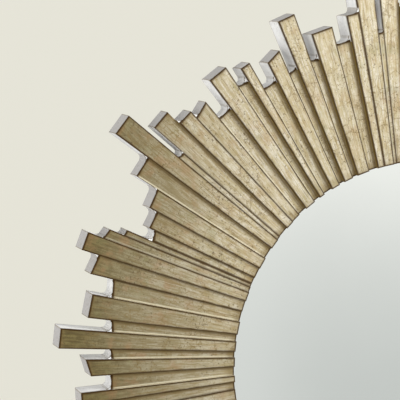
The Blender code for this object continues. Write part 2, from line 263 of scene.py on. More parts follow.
class Graph:
    """Builds one node tree from short calls."""

    def __init__(self, tree: NodeTree, effects: "Effects | None" = None) -> None:
        """Start on a tree, with the node groups that a finish shares."""
        self.tree = tree
        self.effects = effects

    @cached_property
    def place(self) -> Socket:
        """The object coordinates."""
        return self.node("ShaderNodeTexCoord").outputs["Object"]

    def specks(self, amount: float) -> Socket:
        """Return a mask of scattered specks."""
        entries = {"Place": self.place, "Amount": amount}
        return self.node("ShaderNodeGroup", entries, node_tree=self.effects.specks).outputs[0]

    def grain(self, vector: Socket, scale: Triple) -> tuple[Socket, Socket]:
        """Return the fine streaks and the broad mottle of a stretched grain."""
        entries = {"Place": self.stretched(vector, scale)}
        return tuple(self.node("ShaderNodeGroup", entries, node_tree=self.effects.grain).outputs)

    def put(self, target: Socket, value: object) -> None:
        """Link a socket into an input, or set the input to a plain value."""
        if isinstance(value, Socket):
            self.tree.links.new(value, target)
        else:
            target.default_value = value

    def node(self, kind: str, inputs: dict | None = None, **settings: object) -> Node:
        """Add a node.

        Args:
            kind: The node's type name.
            inputs: Values or sockets by input name or number.
            settings: Values for the node's own properties.

        Returns:
            The new node.
        """
        made = self.tree.nodes.new(kind)
        for name, value in settings.items():
            setattr(made, name, value)
        return self.fill(made, inputs or {})

    def fill(self, node: Node, inputs: dict) -> Node:
        """Give a node's inputs their values or links, and return the node."""
        for key, value in inputs.items():
            self.put(node.inputs[key], value)
        return node

    def math(self, operation: str, first: object, second: object) -> Socket:
        """Return the result of a Math node."""
        return self.node("ShaderNodeMath", {0: first, 1: second}, operation=operation).outputs[0]

    def vector_math(self, operation: str, inputs: dict, output: object = 0) -> Socket:
        """Return the result of a Vector Math node."""
        return self.node("ShaderNodeVectorMath", inputs, operation=operation).outputs[output]

    def times(self, first: object, second: object) -> Socket:
        """Return two values multiplied."""
        return self.math("MULTIPLY", first, second)

    def most(self, first: object, *others: object) -> Socket:
        """Return the greatest of several values."""
        for other in others:
            first = self.math("MAXIMUM", first, other)
        return first

    def flip(self, value: object) -> Socket:
        """Return one minus a value."""
        return self.math("SUBTRACT", 1.0, value)

    def fade(
        self, value: object, low: object, high: object, start: object = 0.0, end: object = 1.0
    ) -> Socket:
        """Return a smooth step of a value from low to high, as a value from start to end."""
        entries = {"Value": value, "From Min": low, "From Max": high, "To Min": start, "To Max": end}
        return self.node("ShaderNodeMapRange", entries, interpolation_type="SMOOTHSTEP").outputs[0]

    def paint(
        self, under: object, over: object, mask: object, share: float = 1.0, mode: str = "MIX"
    ) -> Socket:
        """Return one colour with another laid over it by a mask, at a share of the mask's strength."""
        strength = mask if share == 1.0 else self.times(mask, share)
        entries = {0: strength, 6: under, 7: over}
        return self.node("ShaderNodeMix", entries, data_type="RGBA", blend_type=mode).outputs[2]

    def noise(self, vector: Socket, scale: float, detail: float = 2.0, roughness: float = 0.5) -> Socket:
        """Return a noise value."""
        entries = {"Vector": vector, "Scale": scale, "Detail": detail, "Roughness": roughness}
        return self.node("ShaderNodeTexNoise", entries).outputs[0]

    def swing(self, vector: Socket, scale: float, detail: float, width: float) -> Socket:
        """Return a noise value that swings about zero over a width."""
        return self.times(self.math("SUBTRACT", self.noise(vector, scale, detail), 0.5), width)

    def mottle(self, look: Mottle, vector: Socket | None = None) -> Socket:
        """Return a noise mask, on the object's coordinates unless others are given."""
        vector = self.place if vector is None else vector
        level = self.noise(vector, look.scale, look.detail, look.roughness)
        return self.fade(level, look.low, look.high, 0.0, look.share)

    def bump(self, height: Socket, strength: float, distance: float) -> Socket:
        """Return a normal raised by a height."""
        entries = {"Strength": strength, "Distance": distance, "Height": height}
        return self.node("ShaderNodeBump", entries).outputs[0]

    def stretched(self, vector: Socket, scale: Triple) -> Socket:
        """Return coordinates scaled along each axis."""
        return self.node("ShaderNodeMapping", {"Vector": vector, "Scale": scale}).outputs[0]

    def axes(self, vector: Socket) -> tuple[Socket, Socket, Socket]:
        """Return the three values of a vector."""
        return tuple(self.node("ShaderNodeSeparateXYZ", {0: vector}).outputs)

    def uv(self, layer: Layer) -> tuple[Socket, Socket]:
        """Return the two values of a UV layer."""
        source = self.node("ShaderNodeUVMap", uv_map=layer.value)
        return self.axes(source.outputs[0])[:2]

    def channels(self, layer: Layer) -> tuple[Socket, Socket, Socket]:
        """Return the red, green and blue values of a colour attribute."""
        source = self.node("ShaderNodeAttribute", attribute_name=layer.value)
        return tuple(self.node("ShaderNodeSeparateColor", {0: source.outputs["Color"]}).outputs)


def new_group(name: str, inputs: dict[str, str], *outputs: str) -> tuple[Graph, dict, Callable]:
    """Start a shader node group.

    Args:
        name: The group's name.
        inputs: Socket types by input name.
        outputs: The names of the output values.

    Returns:
        The group's graph, its input sockets by name, and a function that sets an output.
    """
    tree = bpy.data.node_groups.new(name, "ShaderNodeTree")
    for label, kind in inputs.items():
        tree.interface.new_socket(name=label, in_out="INPUT", socket_type=kind)
    for label in outputs:
        tree.interface.new_socket(name=label, in_out="OUTPUT", socket_type="NodeSocketFloat")
    graph = Graph(tree)
    entry = graph.node("NodeGroupInput")
    leave = graph.node("NodeGroupOutput")
    return graph, entry.outputs, lambda label, socket: graph.put(leave.inputs[label], socket)


class Effects:
    """The node groups that several finishes share."""

    POOL_CORE = 0.22
    SPECK_LEVEL = 0.72
    SPECK_SOFTNESS = 0.07
    SPECK_PATCHES = 0.22

    def __init__(self) -> None:
        """Build each group once."""
        self.pool = self.build_pool()
        self.specks = self.build_specks()
        self.grain = self.build_grain()

    def build_pool(self) -> NodeTree:
        """Build a mask that is full at an edge and fades over a wavering reach, for glaze, stains and painted
        shade.
        """
        inputs = {"Distance": "NodeSocketFloat", "Reach": "NodeSocketFloat", "Waver": "NodeSocketFloat"}
        inputs["Place"] = "NodeSocketVector"
        graph, entry, leave = new_group("edge_pool", inputs, "Mask")
        wavering = graph.times(graph.swing(entry["Place"], 70.0, 3.0, 2.0), entry["Waver"])
        reach = graph.times(entry["Reach"], graph.math("ADD", wavering, 1.0))
        leave("Mask", graph.fade(entry["Distance"], graph.times(reach, self.POOL_CORE), reach, 1.0, 0.0))
        return graph.tree

    def build_specks(self) -> NodeTree:
        """Build a mask of scattered small spots."""
        inputs = {"Place": "NodeSocketVector", "Amount": "NodeSocketFloat"}
        graph, entry, leave = new_group("scattered_specks", inputs, "Mask")
        fine = graph.noise(entry["Place"], 300.0, 3.0, 0.7)
        level = graph.math("ADD", fine, graph.swing(entry["Place"], 22.0, 1.0, self.SPECK_PATCHES))
        low = graph.math("SUBTRACT", self.SPECK_LEVEL, entry["Amount"])
        leave("Mask", graph.fade(level, low, graph.math("ADD", low, self.SPECK_SOFTNESS)))
        return graph.tree

    def build_grain(self) -> NodeTree:
        """Build fine streaks and a broad mottle."""
        graph, entry, leave = new_group("streaked_grain", {"Place": "NodeSocketVector"}, "Streak", "Mottle")
        leave("Streak", graph.noise(entry["Place"], 1.0, 4.0, 0.6))
        leave("Mottle", graph.noise(entry["Place"], 0.06, 3.0, 0.55))
        return graph.tree


class RayGraph(Graph):
    """A material's graph that also reads a point's place on its own ray."""

    def __init__(self, tree: NodeTree, effects: Effects) -> None:
        """Read every layer once.

        Args:
            tree: The material's node tree.
            effects: The shared node groups.
        """
        super().__init__(tree, effects)
        self.first_edge, self.second_edge = self.uv(Layer.EDGES)
        self.run, self.to_end = self.uv(Layer.RUN)
        self.depth, self.beyond = self.uv(Layer.SIDE)
        self.tone, self.first_step, self.second_step = self.channels(Layer.MARKS)
        self.side, self.outer, self.rim = self.channels(Layer.KINDS)
        self.first_free, self.second_free, _ = self.channels(Layer.FREE)
        entries = {0: self.first_edge, 1: self.run, 2: self.tone}
        self.along = self.node("ShaderNodeCombineXYZ", entries).outputs[0]

    def pool(self, distance: Socket, reach: object, waver: float) -> Socket:
        """Return a mask that is full at an edge and fades over a wavering reach, for glaze, stains and painted
        shade.
        """
        entries = {"Distance": distance, "Reach": reach, "Waver": waver, "Place": self.place}
        return self.node("ShaderNodeGroup", entries, node_tree=self.effects.pool).outputs[0]

    def pools(self, reach: float, waver: float, first_share: Socket, second_share: Socket) -> Socket:
        """Return a mask of glaze along both of the ray's edges, each at its own share."""
        first = self.times(self.pool(self.first_edge, reach, waver), first_share)
        return self.most(first, self.times(self.pool(self.second_edge, reach, waver), second_share))


@dataclass(frozen=True)
class Finish:
    """A material's name and the looks that its shader shows."""

    name: str = ""

    def build(self, effects: Effects | None = None) -> Material:
        """Build the finish.

        Args:
            effects: The shared node groups, for a finish that uses them.

        Returns:
            The material.
        """
        material = bpy.data.materials.new(self.name)
        material.use_nodes = True
        graph = Graph(material.node_tree, effects)
        graph.fill(material.node_tree.nodes["Principled BSDF"], self.looks(graph))
        return material

    def looks(self, graph: Graph) -> dict:
        """Return the values of the shader's inputs by name."""
        return {}


@dataclass(frozen=True)
class GildedFinish(Finish):
    """Champagne leaf on the rays' faces, silver leaf on their free sides, and a dark glaze with painted shadow
    in the steps.
    """

    name: str = "gilded_leaf"
    leaf: Colour = shade(202, 196, 180)
    leaf_deep: Colour = shade(162, 146, 104)
    # Painted highlight colour, for the lit stripe beside a higher step and the lit step walls.
    leaf_highlight: Colour = shade(238, 230, 202)
    # Painted shade: the leaf's darker, more olive colours and the x limits over which the leaf is painted
    # darker toward -X, for light falling off away from the key light.
    tarnish_and_shade: Colour = shade(117, 105, 61)
    shaded_leaf_deep: Colour = shade(72, 59, 24)
    shade_full: float = -0.50
    shade_none: float = -0.21
    bole: Colour = shade(144, 108, 74)
    ochre: Colour = shade(226, 202, 142)
    verdigris: Colour = shade(116, 114, 70)
    silver: Colour = shade(226, 225, 222)
    # Painted shade: a darker copy of the silver for the ray tips and the rim wall, standing for their shade.
    shaded_silver_end: Colour = shade(169, 166, 163)
    silver_dull: Colour = shade(202, 201, 200)
    wall_wash: Colour = shade(112, 93, 50)
    fleck: Colour = shade(82, 66, 34)
    glaze_thin: Colour = shade(112, 92, 48)
    # Darkest glaze with painted shadow, at the foot of a higher neighbour's step.
    glaze_and_shadow_foot: Colour = shade(82, 63, 24)
    glaze: Colour = shade(48, 29, 4)
    clouds: Mottle = Mottle(110.0, 6.0, 0.75, 0.44, 0.66, 0.50)
    warmth: Mottle = Mottle(19.0, 4.0, 0.6, 0.46, 0.66, 0.17)
    pits: Mottle = Mottle(620.0, 2.0, 0.6, 0.48, 0.66, 0.50)
    wear: Mottle = Mottle(38.0, 5.0, 0.65, 0.50, 0.68)
    green: Mottle = Mottle(31.0, 4.0, 0.6, 0.53, 0.73, 0.36)
    crack_patches: Mottle = Mottle(17.0, 3.0, 0.6, 0.47, 0.60, 0.60)
    scratches: Mottle = Mottle(1.0, 2.0, 0.6, 0.54, 0.68, 0.66)
    dulling: Mottle = Mottle(24.0, 4.0, 0.6, 0.40, 0.72)
    own_line: float = 0.0030
    foot_share: float = 0.10
    end_line: float = 0.0036
    # Reach of the painted shadow and glaze on the face beside a higher neighbour at the first edge.
    foot_shadow_reach: float = 0.0075
    foot_far: float = 0.0010
    # Width and soft edge of the painted highlight stripe.
    highlight_width: float = 0.0029
    highlight_blur: float = 0.0012
    rim_line: float = 0.0032
    # Reach of the darkening toward the rim, which is stronger on rays lower than a neighbour.
    rim_darkening: float = 0.0150
    end_stain: float = 0.0080
    side_band: float = 0.0078
    end_band: float = 0.0036
    step_band: float = 0.0040
    corner_line: float = 0.0016
    # Reach of the painted shade along the walls' rounded back edge.
    back_edge_shade: float = 0.0022

    def looks(self, graph: Graph) -> dict:
        """Return the values of the shader's inputs by name.

        Args:
            graph: The material's graph.

        Returns:
            The colour, roughness, metal, gloss and relief.
        """
        ray = RayGraph(graph.tree, graph.effects)
        streak, shine = ray.grain(ray.along, (430.0, 42.0, 40.0))
        specks = ray.specks(0.13)
        silver = ray.paint(self.silver, self.silver_dull, ray.mottle(self.dulling))
        face = ray.paint(self.aged_and_shaded_leaf(ray, streak), self.fleck, specks, 0.75)
        face, dark = self.face_glaze_and_shadow(ray, self.scratched_and_highlit(ray, face))
        face = ray.paint(face, silver, ray.fade(ray.to_end, -0.0020, -0.0010, 1.0, 0.0))
        flank = ray.paint(self.flank(ray, silver), self.glaze_thin, specks, 0.25)
        gilding = ray.times(ray.flip(ray.side), ray.flip(dark))
        rough = ray.math("ADD", ray.fade(shine, 0.3, 0.7, 0.38, 0.50), ray.fade(gilding, 0.0, 1.0, 0.2, 0.0))
        relief = ray.math("SUBTRACT", ray.times(streak, 0.6), ray.times(specks, 0.5))
        return {
            "Base Color": ray.paint(face, flank, ray.side),
            "Roughness": rough,
            "Metallic": ray.times(gilding, 0.30),
            "Specular IOR Level": ray.fade(gilding, 0.0, 1.0, 0.06, 0.5),
            "Normal": ray.bump(relief, 0.35, 0.0003),
        }

    def aged_and_shaded_leaf(self, ray: RayGraph, streak: Socket) -> Socket:
        """Build the leaf's colour, with its streaks, a painted shade that darkens it toward -X, wear, stains
        and cracks.

        Args:
            ray: The material's graph.
            streak: The grain's fine streaks.

        Returns:
            The colour.
        """
        # Painted shade: the leaf is blended to its darker colours as x falls from the lighter limit to the
        # darker one, standing for light falling off toward -X.
        across = ray.math("ADD", ray.axes(ray.place)[0], ray.swing(ray.place, 6.0, 2.0, 0.16))
        shaded_side = ray.fade(across, self.shade_full, self.shade_none, 1.0, 0.0)
        deep = ray.paint(self.leaf_deep, self.shaded_leaf_deep, shaded_side)
        colour = ray.paint(self.leaf, self.tarnish_and_shade, shaded_side)
        colour = ray.paint(colour, deep, ray.fade(streak, 0.38, 0.64), 0.80)
        colour = ray.paint(colour, deep, ray.tone, 0.30)
        colour = ray.paint(colour, deep, ray.mottle(self.clouds))
        colour = ray.paint(colour, self.ochre, ray.mottle(self.warmth), mode="MULTIPLY")
        colour = ray.paint(colour, deep, ray.mottle(self.pits))
        rubbed = ray.times(ray.mottle(self.wear), ray.fade(shaded_side, 0.0, 1.0, 0.24, 0.50))
        colour = ray.paint(colour, self.bole, rubbed)
        colour = ray.paint(colour, self.verdigris, ray.mottle(self.green))
        return ray.paint(colour, self.glaze_thin, self.cracks(ray))

    def cracks(self, ray: RayGraph) -> Socket:
        """Build a mask of fine crackle that comes and goes in patches.

        Args:
            ray: The material's graph.

        Returns:
            The mask.
        """
        drift = ray.node("ShaderNodeTexNoise", {"Vector": ray.place, "Scale": 90.0, "Detail": 3.0})
        drift = ray.vector_math("SCALE", {0: drift.outputs["Color"], "Scale": 0.022})
        entries = {"Vector": ray.vector_math("ADD", {0: ray.place, 1: drift}), "Scale": 58.0}
        cells = ray.node("ShaderNodeTexVoronoi", entries, feature="DISTANCE_TO_EDGE").outputs["Distance"]
        return ray.times(ray.fade(cells, 0.012, 0.050, 1.0, 0.0), ray.mottle(self.crack_patches))

    def scratched_and_highlit(self, ray: RayGraph, face: Socket) -> Socket:
        """Lay fine scratches over a ray's face, and a painted highlight stripe beside the step of a higher
        ray.

        Args:
            ray: The material's graph.
            face: The leaf's colour.

        Returns:
            The colour.
        """
        scratches = ray.mottle(self.scratches, ray.stretched(ray.along, (1000.0, 26.0, 60.0)))
        face = ray.paint(face, self.glaze_thin, scratches)
        # Painted highlight: a pale stripe beside the foot of a higher neighbour's step, standing for light
        # caught there.
        pale = ray.fade(ray.second_edge, self.highlight_width - self.highlight_blur, self.highlight_width, 1.0, 0.0)
        return ray.paint(face, self.leaf_highlight, ray.times(pale, ray.second_step), 0.50)

    def face_glaze_and_shadow(self, ray: RayGraph, face: Socket) -> tuple[Socket, Socket]:
        """Lay the end stains, a darkening toward the rim, the pooled glaze with painted shadow at the steps'
        feet, and the dark edge lines over a ray's face.

        Args:
            ray: The material's graph.
            face: The leaf's colour.

        Returns:
            The colour, and the mask of the darkest glaze and painted shadow.
        """
        # Darker toward the rim, and more so on rays sunk below a neighbour.
        rim_share = ray.fade(ray.most(ray.first_step, ray.second_step), 0.0, 1.0, 0.25, 0.60)
        rim_darkening = ray.times(ray.pool(ray.run, self.rim_darkening, 0.55), rim_share)
        end_stain = ray.times(ray.pool(ray.to_end, self.end_stain, 0.70), 0.35)
        face = ray.paint(face, self.glaze_thin, ray.most(rim_darkening, end_stain))
        # Painted shadow: a wide dark pool on the face beside a higher neighbour at the first edge, for the
        # shadow it casts, laid with glaze pooled at the foot; the far edge gets a thin glaze line.
        near = ray.times(ray.pool(ray.first_edge, self.foot_shadow_reach, 0.30), ray.first_step)
        far = ray.times(ray.pool(ray.second_edge, self.foot_far, 0.25), ray.second_step)
        foot = ray.most(near, far)
        deepest = ray.times(ray.math("POWER", foot, 6.0), 0.40)
        steps = (ray.first_step, ray.second_step)
        shares = [ray.fade(step, 0.0, 1.0, 1.0, self.foot_share) for step in steps]
        ends = (ray.pool(ray.to_end, self.end_line, 0.35), ray.pool(ray.run, self.rim_line, 0.45))
        line = ray.times(ray.most(ray.pools(self.own_line, 0.45, *shares), *ends), 0.92)
        face = ray.paint(face, self.glaze_thin, foot, 0.62)
        face = ray.paint(face, self.glaze_and_shadow_foot, deepest)
        return ray.paint(face, self.glaze, line), ray.most(deepest, line)

    def flank(self, ray: RayGraph, silver: Socket) -> Socket:
        """Build the walls' colour: washed in the steps with a painted highlight at the first edge, silvered
        where free with a painted shade on tips and rim, dark along the arrises, and with a painted shade along
        the back edge.

        Args:
            ray: The material's graph.
            silver: The silver leaf's colour.

        Returns:
            The colour.
        """
        silvering = ray.most(ray.fade(ray.beyond, -0.0020, -0.0002), ray.fade(ray.outer, 0.0, 0.05), ray.rim)
        tip = ray.times(ray.outer, ray.most(ray.first_free, ray.second_free))
        # Painted shade: the tips and the rim wall take the darker copy of the silver.
        silver = ray.paint(silver, self.shaded_silver_end, ray.most(tip, ray.rim))
        # Painted highlight: step walls at the ray's first edge get the pale leaf as if lit, the rest the
        # darker wash.
        sunny = ray.fade(ray.first_edge, 0.0006, 0.0012, 1.0, 0.0)
        colour = ray.paint(ray.paint(self.wall_wash, self.leaf_highlight, sunny), silver, silvering)
        broad = ray.times(ray.flip(ray.outer), ray.flip(ray.rim))
        width = ray.fade(broad, 0.0, 1.0, self.end_band, self.side_band)
        band = ray.pool(ray.depth, ray.fade(silvering, 0.0, 1.0, self.step_band, width), 0.25)
        colour = ray.paint(colour, self.glaze_thin, band, 0.45)
        power = ray.fade(broad, 0.0, 1.0, 1.6, 4.0)
        colour = ray.paint(colour, self.glaze, ray.math("POWER", band, power), 0.95)
        near = ray.times(ray.pools(self.corner_line, 0.4, ray.first_free, ray.second_free), ray.outer)
        far = ray.times(ray.pool(ray.to_end, self.corner_line, 0.4), broad)
        # Painted shade: a thin darkening along the walls' back edge, where the rounded corner turns from the
        # light.
        back = ray.pool(ray.times(ray.axes(ray.place)[1], -1.0), self.back_edge_shade, 0.3)
        return ray.paint(colour, self.glaze_thin, ray.most(near, far, back), 0.5)


@dataclass(frozen=True)
class CastBackFinish(Finish):
    """Raw cast resin with a thin brown wash, on the frame's back and in its rebate."""

    name: str = "cast_back"
    wash: Colour = shade(120, 98, 70)
    wash_dark: Colour = shade(84, 66, 46)

    def looks(self, graph: Graph) -> dict:
        """Return the values of the shader's inputs by name."""
        brushed = graph.noise(graph.stretched(graph.place, (60.0, 60.0, 14.0)), 1.0, 4.0, 0.6)
        colour = graph.paint(self.wash, self.wash_dark, graph.fade(brushed, 0.35, 0.68))
        return {
            "Base Color": graph.paint(colour, self.wash_dark, graph.specks(0.05)),
            "Roughness": 0.72,
            "Normal": graph.bump(brushed, 0.3, 0.0005),
        }


@dataclass(frozen=True)
class SilveredFinish(Finish):
    """Clear silvered mirror glass with a faint haze of dust."""

    name: str = "silvered_mirror"
    silvering: Colour = shade(238, 241, 239)
    haze: Colour = shade(226, 229, 227)
    film: Mottle = Mottle(7.0, 3.0, 0.5, 0.35, 0.7)

    def looks(self, graph: Graph) -> dict:
        """Return the values of the shader's inputs by name."""
        film = graph.mottle(self.film)
        dulled = graph.math("ADD", graph.times(film, 0.01), graph.times(graph.specks(0.0), 0.04))
        return {
            "Base Color": graph.paint(self.silvering, self.haze, film, 0.15),
            "Roughness": graph.math("ADD", dulled, 0.03),
            "Metallic": 1.0,
        }


@dataclass(frozen=True)
class HardboardFinish(Finish):
    """Brown pressed fibre board."""

    name: str = "pressed_fibre_board"
    fibre: Colour = shade(132, 98, 66)
    fibre_dark: Colour = shade(98, 70, 46)
    stains: Mottle = Mottle(5.0, 3.0, 0.5, 0.35, 0.7, 0.4)

    def looks(self, graph: Graph) -> dict:
        """Return the values of the shader's inputs by name."""
        fibres = graph.fade(graph.grain(graph.place, (420.0, 420.0, 900.0))[0], 0.35, 0.65)
        colour = graph.paint(self.fibre, self.fibre_dark, fibres)
        colour = graph.paint(colour, self.fibre_dark, graph.mottle(self.stains))
        return {
            "Base Color": graph.paint(colour, self.fibre_dark, graph.specks(0.05), 0.7),
            "Roughness": graph.fade(fibres, 0.0, 1.0, 0.62, 0.80),
            "Normal": graph.bump(fibres, 0.4, 0.0003),
        }


@dataclass(frozen=True)
class ZincFinish(Finish):
    """Bright zinc-plated steel with rolling marks and a little tarnishing."""

    name: str = "zinc_plated_steel"
    zinc: Colour = shade(198, 196, 188)
    tarnish_and_shade: Colour = shade(142, 134, 116)
    spots: Mottle = Mottle(160.0, 4.0, 0.6, 0.5, 0.75, 0.6)

    def looks(self, graph: Graph) -> dict:
        """Return the values of the shader's inputs by name."""
        dull = graph.most(graph.mottle(self.spots), graph.specks(0.08))
        rolled = graph.fade(graph.grain(graph.place, (120.0, 1500.0, 2600.0))[0], 0.3, 0.7, 0.26, 0.42)
        return {
            "Base Color": graph.paint(self.zinc, self.tarnish_and_shade, dull),
            "Roughness": graph.math("ADD", rolled, graph.times(dull, 0.2)),
            "Metallic": 1.0,
        }


@dataclass
class RayBand:
    """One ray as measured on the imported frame: its edges as angles in radians, its cut end as two points."""

    start: float
    end: float
    height: float
    cut_from: Vector
    cut_to: Vector
    tone: float

    @property
    def middle(self) -> float:
        """The angle of the ray's axis."""
        return 0.5 * (self.start + self.end)

    def from_first(self, x: float, z: float) -> float:
        """Distance of a point from the ray's first edge."""
        return z * math.cos(self.start) - x * math.sin(self.start)

    def from_second(self, x: float, z: float) -> float:
        """Distance of a point from the ray's second edge."""
        return x * math.sin(self.end) - z * math.cos(self.end)

    def along(self, x: float, z: float) -> float:
        """Distance of a point from the mirror's axis, measured along the ray."""
        return x * math.cos(self.middle) + z * math.sin(self.middle)

    def from_cut(self, x: float, z: float) -> float:
        """Distance of a point inward from the line of the ray's cut end."""
        line = (self.cut_to - self.cut_from).normalized()
        offset = Vector((x, z)) - self.cut_from
        return line.x * offset.y - line.y * offset.x


@dataclass
class SunburstFrame:
    """The one-piece gilded frame with its ring of stepped rays."""

    node: str = "frame"
    cove_share: float = 0.62
    cove_limit: float = 0.0034
    cove_steps: int = 4
    arris: float = 0.0005
    arris_steps: int = 2
    tuck_depth: float = 0.0090
    tuck_reach: float = 0.0030
    tuck_cuts: tuple[float, ...] = (0.0090, 0.0055, 0.0025, 0.0008)
    flat_angle: float = math.radians(0.4)
    sharp_turn: float = math.radians(55.0)
    facing_front: float = -0.9
    facing_back: float = 0.5
    facing_slope: float = -0.25
    facing_axis: float = -0.5
    facing_out: float = 0.05
    fully_out: float = 0.5
    front_limit: float = -0.02
    outline_zone: float = 0.05
    rim_zone: float = 0.004
    rebate_zone: float = 0.012
    rebate_depth: float = 0.0106
    rim_slack: float = 0.0002
    joint_slack: float = 0.0005
    radial_slack: float = 0.00005
    step_slack: float = 0.00006
    step_probe: float = 0.0005
    wall_probe: float = 0.0004
    step_scale: float = 0.0035
    free_limit: float = 0.0010
    merge_limit: float = 0.00008
    tone_seed: int = 7
    rays: list[RayBand] = field(default_factory=list)
    rim_radius: float = 0.0

    def angle_of(self, x: float, z: float) -> float:
        """Return a point's angle about the mirror's axis, from 0 to a full turn."""
        return math.atan2(z, x) % FULL_TURN

    def joint_angles(self, mesh: Mesh) -> list[float]:
        """Find the angles where one ray meets the next.

        Args:
            mesh: The merged frame mesh.

        Returns:
            The angles in order.
        """
        forward = [v.co for v in mesh.vertices if v.co.y < self.front_limit]
        self.rim_radius = min(math.hypot(co.x, co.z) for co in forward)
        on_rim = [co for co in forward if math.hypot(co.x, co.z) - self.rim_radius < self.rim_slack]
        angles = sorted(self.angle_of(co.x, co.z) for co in on_rim)
        return [a for i, a in enumerate(angles) if i == 0 or a - angles[i - 1] > self.joint_slack]

    def join_flats(self, piece: Piece, joints: Sequence[float]) -> None:
        """Join the flat triangles of each face, and keep the line between one ray and the next.

        Args:
            piece: The frame.
            joints: The angles between the rays.
        """
        with edit_mode(piece):
            bpy.ops.mesh.select_mode(type="FACE")
            bpy.ops.mesh.select_all(action="DESELECT")
            bm = bmesh.from_edit_mesh(piece.data)
            for edge in bm.edges:
                first, second = [self.angle_of(v.co.x, v.co.z) for v in edge.verts]
                forward = all(v.co.y < self.front_limit for v in edge.verts)
                radial = abs(first - second) < self.radial_slack
                nearest = min(abs(first - joint) for joint in joints)
                edge.seam = forward and radial and nearest < self.joint_slack
            for face in bm.faces:
                face.select_set(face.normal.y < self.facing_back)
            bmesh.update_edit_mesh(piece.data)
            bpy.ops.mesh.dissolve_limited(angle_limit=self.flat_angle, delimit={"SEAM"})

    def cut_corners(self, mesh: Mesh, face: Face, middle: float) -> tuple[Vector, Vector]:
        """Find the two ends of a ray's cut end, which is the widest gap between its outer corners.

        Args:
            mesh: The frame's mesh.
            face: The ray's front face.
            middle: The angle of the ray's axis.

        Returns:
            The ends in the order of their angles, as points on the mirror's plane.
        """
        outer = []
        for key in face.vertices:
            co = mesh.vertices[key].co
            turn = self.angle_of(co.x, co.z)
            if turn < middle - math.pi:
                turn += FULL_TURN
            if turn > middle + math.pi:
                turn -= FULL_TURN
            reach = math.hypot(co.x, co.z)
            if reach > self.rim_radius + self.outline_zone:
                outer.append((turn, reach))
        outer.sort()
        first, last = outer[0][0], outer[-1][0]
        by_first = [entry for entry in outer if entry[0] - first < self.joint_slack]
        by_last = [entry for entry in outer if last - entry[0] < self.joint_slack]
        between = [entry for entry in outer if entry not in by_first and entry not in by_last]
        start = (first, max(reach for _, reach in by_first))
        end = (last, max(reach for _, reach in by_last))
        tips = [start, *between, end]
        gaps = [after[0] - before[0] for before, after in zip(tips, tips[1:])]
        widest = gaps.index(max(gaps))
        ends = [Vector((r * math.cos(a), r * math.sin(a))) for a, r in tips[widest : widest + 2]]
        return ends[0], ends[1]

    def measure_rays(self, mesh: Mesh, joints: Sequence[float]) -> None:
        """Measure every ray on the joined mesh.

        Args:
            mesh: The frame's mesh, one face to each ray's front.
            joints: The angles between the rays.
        """
        tones = random.Random(self.tone_seed)
        forward = [p for p in mesh.polygons if p.center.y < self.front_limit]
        fronts = [p for p in forward if p.normal.y < self.facing_front]
        for index, start in enumerate(joints):
            end = joints[(index + 1) % len(joints)]
            if end < start:
                end += FULL_TURN
            middle = 0.5 * (start + end) % FULL_TURN
            face = min(fronts, key=lambda p: abs(self.angle_of(p.center.x, p.center.z) - middle))
            cut_from, cut_to = self.cut_corners(mesh, face, middle)
            self.rays.append(RayBand(start, end, -face.center.y, cut_from, cut_to, tones.random()))

    def ray_index(self, x: float, z: float) -> int:
        """Return the number of the ray that a point lies on."""
        angle = self.angle_of(x, z)
        for index, ray in enumerate(self.rays):
            if ray.start <= angle < ray.end or ray.start <= angle + FULL_TURN < ray.end:
                return index
        return len(self.rays) - 1

    def outward_part(self, polygon: Face) -> float:
        """Return how far a face's normal points away from the mirror's axis, from -1 to 1."""
        x, z = polygon.center.x, polygon.center.z
        return (polygon.normal.x * x + polygon.normal.z * z) / math.hypot(x, z)

    def faces_axis(self, polygon: Face, zone: float) -> bool:
        """Say whether a face looks toward the mirror's axis from within a zone outside the rim."""
        radius = math.hypot(polygon.center.x, polygon.center.z)
        return self.outward_part(polygon) < self.facing_axis and radius < self.rim_radius + zone

    def surface_of(self, polygon: Face) -> Surface:
        """Say which kind of surface a face is."""
        if polygon.normal.y < self.facing_slope:
            return Surface.FRONT
        if self.faces_axis(polygon, self.rim_zone):
            return Surface.RIM_WALL
        return Surface.OUTER_END if self.outward_part(polygon) > self.facing_out else Surface.STEP_WALL

    def tuck(self, co: Vector) -> float:
        """Return how far the outline is drawn in at a point to round its back corners.

        Args:
            co: The point.

        Returns:
            The distance as a share of the point's radius, and nothing for a point near the rim.
        """
        radius = math.hypot(co.x, co.z)
        if radius <= self.rim_radius + self.outline_zone:
            return 0.0
        share = min(max(1.0 + co.y / self.tuck_depth, 0.0), 1.0)
        return self.tuck_reach * (1.0 - math.sqrt(1.0 - share * share)) / radius

    def round_back(self, piece: Piece) -> None:
        """Cut the outline's walls near the back and draw them in to a round."""
        with edit_mode(piece):
            for depth in self.tuck_cuts:
                bpy.ops.mesh.select_all(action="SELECT")
                bpy.ops.mesh.bisect(plane_co=(0.0, -depth, 0.0), plane_no=(0.0, 1.0, 0.0))
        for vertex in piece.data.vertices:
            scale = 1.0 - self.tuck(vertex.co)
            vertex.co.x *= scale
            vertex.co.z *= scale

    def step_share(self, ray: RayBand, neighbour: RayBand) -> float:
        """Return how high a neighbour stands over a ray, as a share of a full step."""
        return min(max((neighbour.height - ray.height) / self.step_scale, 0.0), 1.0)

